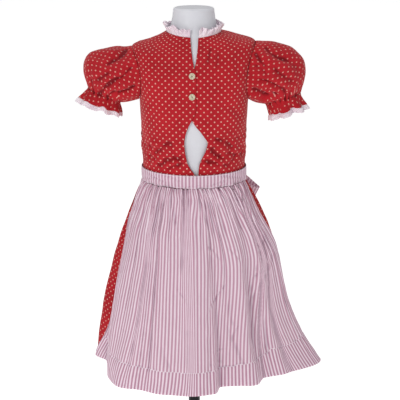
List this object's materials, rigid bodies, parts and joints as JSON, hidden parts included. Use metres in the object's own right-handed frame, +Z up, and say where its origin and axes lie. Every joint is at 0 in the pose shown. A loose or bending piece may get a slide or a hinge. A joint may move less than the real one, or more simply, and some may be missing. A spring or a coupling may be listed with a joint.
{
  "type": "dirndl on dress form",
  "caption": "Child's dirndl with puff sleeves, gathered skirt and striped apron tied in a bow, worn by a limbless dress form on a pole stand, for display or dressing a scene.",
  "frame": {"origin": "centre of the stand base's underside, on the floor and on the pole's axis", "axes": "+Z up along the pole, front of the dress facing -Y, wearer's left side towards +X"},
  "size_m": [0.4557, 0.3338, 0.964],
  "materials": {
    "dotted_cotton": "matt red cotton with small cream dots",
    "striped_cotton": "matt cotton with pink and white stripes",
    "lace": "matt pinkish white edging",
    "horn": "satin beige",
    "form_shell": "satin pale grey",
    "stand_metal": "satin black"
  },
  "bodies": {
    "root": {"bodice_front_left": "dotted_cotton", "bodice_front_right": "dotted_cotton", "bodice_back": "dotted_cotton", "sleeve_left": "dotted_cotton", "cuff_lace_left": "lace", "sleeve_right": "dotted_cotton", "cuff_lace_right": "lace", "neck_ruffle": "lace", "skirt_front": "dotted_cotton", "skirt_back": "dotted_cotton", "apron_panel": "striped_cotton", "apron_waistband": "striped_cotton", "apron_tie_left": "striped_cotton", "apron_tie_right": "striped_cotton", "bow_loop_left": "striped_cotton", "bow_loop_right": "striped_cotton", "bow_tail_left": "striped_cotton", "bow_tail_right": "striped_cotton", "bow_knot": "striped_cotton", "button_upper": "horn", "button_lower": "horn", "dress_form": "form_shell", "stand_base": "stand_metal", "pole_socket": "stand_metal", "stand_pole": "stand_metal", "form_collar": "stand_metal"}
  },
  "joints": []
}
